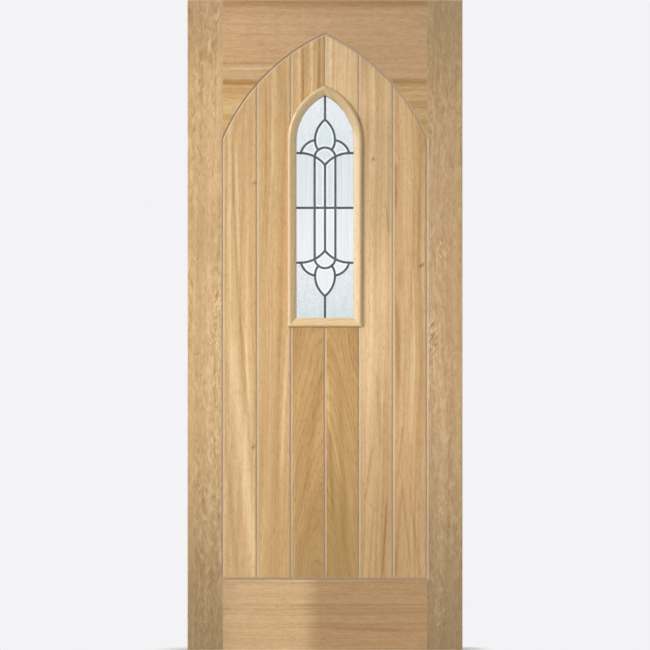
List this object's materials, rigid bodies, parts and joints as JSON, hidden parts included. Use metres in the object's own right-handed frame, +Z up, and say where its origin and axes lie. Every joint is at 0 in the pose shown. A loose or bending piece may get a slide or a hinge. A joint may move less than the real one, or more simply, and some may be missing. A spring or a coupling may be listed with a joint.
{
  "type": "glazed oak exterior door",
  "caption": "Oak entrance door leaf: stiles and rails frame flush upright boards under a pointed arch, with a pointed leaded window in a moulded surround.",
  "frame": {"origin": "under the middle of the leaf, on its bottom edge", "axes": "+X along the leaf's width, +Z up the leaf, -Y out of its outside face"},
  "size_m": [0.838, 0.062, 1.981],
  "materials": {
    "oak_stile": "clear satin, open grain",
    "oak_rail": "clear satin, open grain",
    "oak_board": "clear satin, open grain",
    "oak_moulding": "clear satin, open grain",
    "beech_dowel": "sawn",
    "clear_glass": "polished",
    "textured_glass": "fine stipple",
    "bevelled_glass": "polished bevels",
    "lead": "dull grey lead",
    "spacer_bar": "satin",
    "sealant": "matt",
    "setting_block": "matt"
  },
  "bodies": {
    "root": {"board_1": "oak_board", "board_2": "oak_board", "board_3_lower": "oak_board", "board_3_upper": "oak_board", "board_4_lower": "oak_board", "board_4_upper": "oak_board", "board_5": "oak_board", "board_6": "oak_board", "bottom_rail": "oak_rail", "corner_dowels": "beech_dowel", "edge_seal": "sealant", "head_board": "oak_rail", "inner_glazing_tape": "sealant", "inner_moulding_left_arc": "oak_moulding", "inner_moulding_left_side": "oak_moulding", "inner_moulding_right_arc": "oak_moulding", "inner_moulding_right_side": "oak_moulding", "inner_moulding_sill": "oak_moulding", "inner_pane": "clear_glass", "inner_spacer": "spacer_bar", "lead_came": "lead", "left_head_corner": "oak_rail", "left_stile": "oak_stile", "lower_bud_glass": "bevelled_glass", "lower_left_corner_glass": "textured_glass", "lower_left_field_glass": "textured_glass", "lower_left_petal_glass": "bevelled_glass", "lower_left_strip_glass": "bevelled_glass", "lower_lens_glass": "bevelled_glass", "lower_right_corner_glass": "textured_glass", "lower_right_field_glass": "textured_glass", "lower_right_petal_glass": "bevelled_glass", "lower_right_strip_glass": "bevelled_glass", "outer_glazing_tape": "sealant", "outer_moulding_left_arc": "oak_moulding", "outer_moulding_left_side": "oak_moulding", "outer_moulding_right_arc": "oak_moulding", "outer_moulding_right_side": "oak_moulding", "outer_moulding_sill": "oak_moulding", "outer_pane": "clear_glass", "outer_spacer": "spacer_bar", "rail_dowels": "beech_dowel", "right_head_corner": "oak_rail", "right_stile": "oak_stile", "setting_blocks": "setting_block", "upper_bud_glass": "bevelled_glass", "upper_left_corner_glass": "textured_glass", "upper_left_field_glass": "textured_glass", "upper_left_petal_glass": "bevelled_glass", "upper_left_strip_glass": "bevelled_glass", "upper_lens_glass": "bevelled_glass", "upper_right_corner_glass": "textured_glass", "upper_right_field_glass": "textured_glass", "upper_right_petal_glass": "bevelled_glass", "upper_right_strip_glass": "bevelled_glass"}
  },
  "joints": []
}
